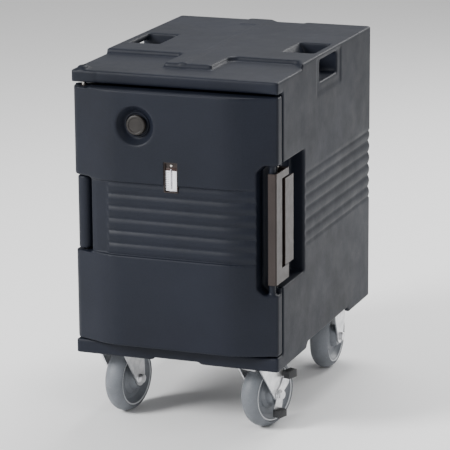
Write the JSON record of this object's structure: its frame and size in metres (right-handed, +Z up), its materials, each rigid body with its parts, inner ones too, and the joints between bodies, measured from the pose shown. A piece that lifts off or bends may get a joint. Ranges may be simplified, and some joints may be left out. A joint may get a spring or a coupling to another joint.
{
  "type": "insulated food carrier",
  "caption": "Front-loading insulated food pan carrier with a bowed, side-hinged door, vent cap, thermometer, side latch, moulded top handles and a braked swivel-caster base",
  "frame": {"origin": "on the floor, under the middle of the bounding box; the wheels stand on z = 0", "axes": "+Z up; the door faces -Y; +X is the latch side and the hinge rod stands at -X"},
  "size_m": [0.464, 0.673, 0.794],
  "materials": {
    "shell": "rotationally moulded polyethylene, charcoal slate, faint satin",
    "liner": "moulded polyethylene, charcoal, smooth satin",
    "foam": "foamed-in-place polyurethane, pale yellow",
    "gasket": "soft black door seal",
    "nylon": "dark brown nylon, low sheen",
    "vent": "grey-brown moulded plastic",
    "card": "white scale card",
    "glass": "clear tube filled red",
    "rod": "plain stainless rod",
    "zinc": "bright zinc-plated pressed steel",
    "tread": "grey polyurethane, satin",
    "core": "grey moulded polypropylene",
    "pad": "black pedal pads"
  },
  "bodies": {
    "cabinet": {"cabinet_shell": "shell", "cabinet_foam": "foam", "cabinet_liner": "liner", "hinge_rod": "rod", "latch_rod": "rod", "stud_plate_front_left": "zinc", "stud_plate_front_right": "zinc", "stud_plate_rear_left": "zinc", "stud_plate_rear_right": "zinc", "front_left_top_plate": "zinc", "front_left_race_ring": "zinc", "front_left_kingpin": "zinc", "front_right_top_plate": "zinc", "front_right_race_ring": "zinc", "front_right_kingpin": "zinc", "rear_left_fork": "zinc", "rear_left_axle_bolt": "zinc", "rear_left_axle_nut": "zinc", "rear_left_axle_spacer": "zinc", "rear_right_fork": "zinc", "rear_right_axle_bolt": "zinc", "rear_right_axle_nut": "zinc", "rear_right_axle_spacer": "zinc"},
    "door": {"door_shell": "shell", "door_foam": "foam", "door_liner": "liner", "door_gasket": "gasket", "hinge_bush_lower": "nylon", "hinge_bush_upper": "nylon", "vent_seal": "gasket", "thermometer_housing": "nylon", "thermometer_card": "card", "thermometer_tube": "glass", "thermometer_probe": "rod"},
    "vent_plug": {"vent_cap": "vent"},
    "latch_handle": {"latch_handle": "nylon", "latch_link_pin": "rod"},
    "latch_hook": {"latch_hook": "nylon"},
    "front_left_swivel": {"front_left_fork": "zinc", "front_left_axle_bolt": "zinc", "front_left_axle_nut": "zinc", "front_left_axle_spacer": "zinc"},
    "front_left_wheel": {"front_left_wheel_core": "core", "front_left_wheel_tread": "tread"},
    "front_right_swivel": {"front_right_fork": "zinc", "front_right_axle_bolt": "zinc", "front_right_axle_nut": "zinc", "front_right_axle_spacer": "zinc", "brake_shoe_pin": "zinc"},
    "front_right_wheel": {"front_right_wheel_core": "core", "front_right_wheel_tread": "tread"},
    "brake_lever": {"brake_lever": "zinc", "brake_pad_lower": "pad", "brake_pad_upper": "pad"},
    "brake_shoe": {"brake_shoe": "zinc"},
    "rear_left_wheel": {"rear_left_wheel_core": "core", "rear_left_wheel_tread": "tread"},
    "rear_right_wheel": {"rear_right_wheel_core": "core", "rear_right_wheel_tread": "tread"}
  },
  "joints": [
    {"name": "door_swing", "type": "hinge", "parent": "cabinet", "child": "door", "pos_m": [-0.21, -0.2875, 0.47], "axis": [0, 0, -1], "range_deg": [0, 180]},
    {"name": "vent_slide", "type": "slide", "parent": "door", "child": "vent_plug", "axis": [0, -1, 0], "range_m": [0, 0.008]},
    {"name": "latch_handle_turn", "type": "hinge", "parent": "cabinet", "child": "latch_handle", "pos_m": [0.2125, -0.2535, 0.47], "axis": [0, 0, -1], "range_deg": [0, 95]},
    {"name": "latch_hook_turn", "type": "hinge", "parent": "latch_handle", "child": "latch_hook", "pos_m": [0.2155, -0.2365, 0.47], "axis": [0, 0, 1], "range_deg": [0, 128.25]},
    {"name": "front_left_swivel_turn", "type": "hinge", "parent": "cabinet", "child": "front_left_swivel", "pos_m": [-0.16, -0.23453, 0.16], "axis": [0, 0, 1], "continuous": true},
    {"name": "front_left_wheel_spin", "type": "hinge", "parent": "front_left_swivel", "child": "front_left_wheel", "pos_m": [-0.15468, -0.20095, 0.0762], "axis": [0.9877, -0.1564, 0], "continuous": true},
    {"name": "front_right_swivel_turn", "type": "hinge", "parent": "cabinet", "child": "front_right_swivel", "pos_m": [0.16, -0.23453, 0.16], "axis": [0, 0, 1], "continuous": true},
    {"name": "front_right_wheel_spin", "type": "hinge", "parent": "front_right_swivel", "child": "front_right_wheel", "pos_m": [0.17051, -0.20219, 0.0762], "axis": [0.9511, -0.309, 0], "continuous": true},
    {"name": "brake_lever_turn", "type": "hinge", "parent": "front_right_swivel", "child": "brake_lever", "pos_m": [0.17051, -0.20219, 0.0762], "axis": [-0.9511, 0.309, 0], "range_deg": [0, 14]},
    {"name": "brake_shoe_turn", "type": "hinge", "parent": "front_right_swivel", "child": "brake_shoe", "pos_m": [0.15199, -0.2592, 0.1456], "axis": [-0.9511, 0.309, 0], "range_deg": [0, 9.8]},
    {"name": "rear_left_wheel_spin", "type": "hinge", "parent": "cabinet", "child": "rear_left_wheel", "pos_m": [-0.16, 0.2445, 0.0762], "axis": [1, 0, 0], "continuous": true},
    {"name": "rear_right_wheel_spin", "type": "hinge", "parent": "cabinet", "child": "rear_right_wheel", "pos_m": [0.16, 0.2445, 0.0762], "axis": [1, 0, 0], "continuous": true}
  ],
  "couplings": [
    {"joint": "latch_hook_turn", "follows": "latch_handle_turn", "ratio": 1.35},
    {"joint": "brake_shoe_turn", "follows": "brake_lever_turn", "ratio": 0.7}
  ]
}
